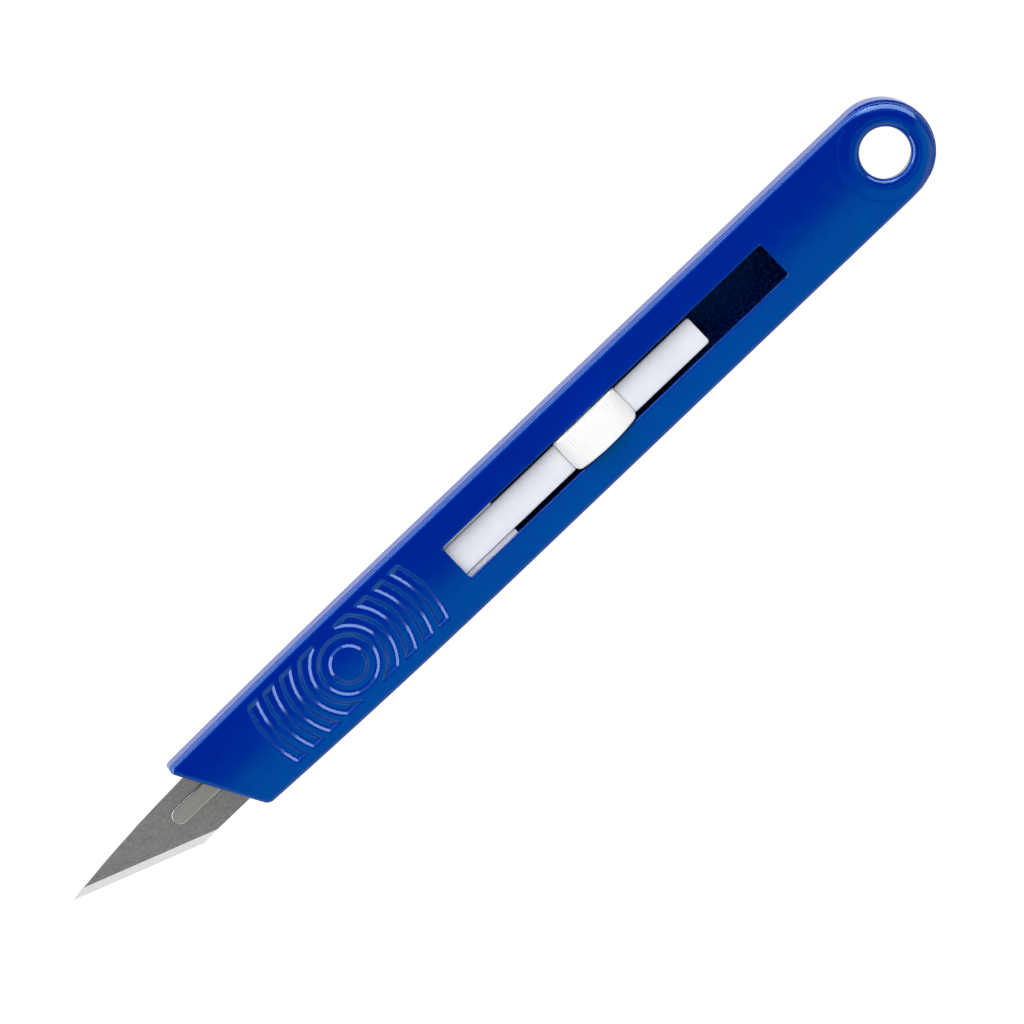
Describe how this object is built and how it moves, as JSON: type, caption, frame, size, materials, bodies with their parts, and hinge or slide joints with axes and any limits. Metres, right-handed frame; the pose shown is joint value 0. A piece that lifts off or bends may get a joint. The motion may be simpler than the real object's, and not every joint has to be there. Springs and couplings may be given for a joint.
{
  "type": "hobby craft knife",
  "caption": "Slim flat handle with a retractable angled craft blade, a sliding thumb button in a long window, ringed finger grip and a hang hole.",
  "frame": {"origin": "centre of the knife's length and width, at the flat back of the handle, with the blade out", "axes": "X along the knife with the blade tip at -X and the hang hole at +X; +Y towards the blade's spine side; +Z out of the face with the window"},
  "size_m": [0.1134, 0.0104, 0.0054],
  "materials": {
    "cover_paint": "glossy powder coat",
    "tray_paint": "glossy powder coat, slightly pebbled inside",
    "bush_steel": "turned",
    "guide_nylon": "moulded",
    "block_nylon": "moulded, slightly translucent",
    "bar_nylon": "moulded, slightly translucent",
    "tongue_steel": "satin pressed strip",
    "rivet_steel": "plain",
    "blade_steel": "satin face, polished ground bevel",
    "button_plastic": "bright white, semi-gloss",
    "spring_steel": "plain spring strip"
  },
  "bodies": {
    "handle": {"front_cover": "cover_paint", "rear_tray": "tray_paint", "hole_bush": "bush_steel", "blade_guide": "guide_nylon"},
    "slider": {"carrier_block": "block_nylon", "thumb_bar": "bar_nylon", "blade_tongue": "tongue_steel", "tongue_rivets": "rivet_steel", "blade": "blade_steel"},
    "button": {"thumb_button": "button_plastic", "button_spring": "spring_steel"}
  },
  "joints": [
    {"name": "carrier_slide", "type": "slide", "parent": "handle", "child": "slider", "axis": [1, 0, 0], "range_m": [-0.0145, 0.0195]},
    {"name": "button_press", "type": "slide", "parent": "slider", "child": "button", "axis": [0, 0, -1], "range_m": [-0.00025, 0.0004], "stiffness_N_per_m": 600, "springref_m": -0.001, "deforming": ["button_spring"]}
  ]
}
